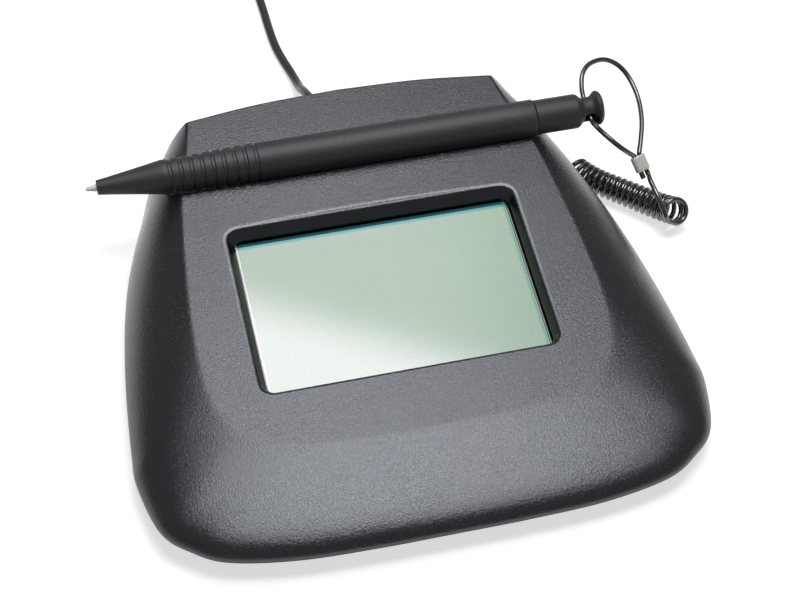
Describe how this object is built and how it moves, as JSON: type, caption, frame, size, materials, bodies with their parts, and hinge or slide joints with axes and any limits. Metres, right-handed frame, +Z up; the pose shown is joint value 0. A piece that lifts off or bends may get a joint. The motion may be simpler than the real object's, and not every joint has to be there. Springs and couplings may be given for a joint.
{
  "type": "signature pad",
  "caption": "Desk signature pad with a sloping deck, recessed signing window, tethered pen in a groove, palm rest and a lead with a flat plug.",
  "frame": {"origin": "on the table, under the middle of the pad's box, measured without its cords", "axes": "+X to the right along the pad's width, +Y to the back edge with the lead, +Z up"},
  "size_m": [0.1814, 0.2837, 0.0333],
  "materials": {
    "housing": "fine leather grain",
    "lower_case": "fine spark texture",
    "foam_gasket": "closed cell foam",
    "touch_glass": "polished",
    "display": "green grey reflective display",
    "light_guide": "clear acrylic with a white back",
    "pressed_metal": "plain pressed sheet",
    "circuit_board": "solder mask",
    "chip": "moulded epoxy",
    "connector": "moulded nylon",
    "capacitor_sleeve": "shrunk sleeve",
    "flex_film": "amber film",
    "screw_steel": "zinc plated",
    "foot_rubber": "matte",
    "pen_soft_touch": "soft touch coating",
    "pen_cap": "satin moulding",
    "nib_white": "smooth acetal",
    "relief_rubber": "moulded",
    "lead_jacket": "satin vinyl jacket",
    "tether_jacket": "glossy vinyl jacket",
    "tie_band": "woven band",
    "plug_moulding": "satin moulding",
    "plug_steel": "nickel plated",
    "plug_tongue": "moulded",
    "crimp_metal": "satin"
  },
  "bodies": {
    "pad": {"top_cover": "housing", "bottom_case": "lower_case", "glass_gasket": "foam_gasket", "touch_panel": "touch_glass", "lcd_panel": "display", "backlight_plate": "light_guide", "lcd_frame": "pressed_metal", "lcd_board": "circuit_board", "main_board": "circuit_board", "controller_chip": "chip", "touch_chip": "chip", "lcd_connector": "connector", "touch_connector": "connector", "usb_header": "connector", "capacitor_left": "capacitor_sleeve", "capacitor_right": "capacitor_sleeve", "crystal_can": "pressed_metal", "lcd_flex": "flex_film", "touch_flex": "flex_film", "case_screw_1": "screw_steel", "case_screw_2": "screw_steel", "case_screw_3": "screw_steel", "case_screw_4": "screw_steel", "board_screw_1": "screw_steel", "board_screw_2": "screw_steel", "board_screw_3": "screw_steel", "board_screw_4": "screw_steel", "foot_front_left": "foot_rubber", "foot_front_right": "foot_rubber", "foot_back_left": "foot_rubber", "foot_back_right": "foot_rubber", "usb_strain_relief": "relief_rubber", "usb_inner_lead": "lead_jacket", "usb_cable": "lead_jacket", "usb_cable_coil": "lead_jacket", "cable_tie": "tie_band", "usb_plug_body": "plug_moulding", "usb_plug_shell": "plug_steel", "usb_plug_tongue": "plug_tongue", "tether_grommet": "relief_rubber", "tether_stop": "pressed_metal", "tether_coil": "tether_jacket"},
    "pen": {"pen_barrel": "pen_soft_touch", "pen_end_cap": "pen_cap", "pen_nib": "nib_white", "tether_loop": "tether_jacket", "tether_ferrule": "crimp_metal", "tether_tail": "tether_jacket", "tether_lead": "tether_jacket"}
  },
  "joints": [
    {"name": "pen_lift", "type": "slide", "parent": "pad", "child": "pen", "axis": [0, -0.1045, 0.9945], "range_m": [0, 0.025], "deforming": ["tether_coil"]}
  ]
}
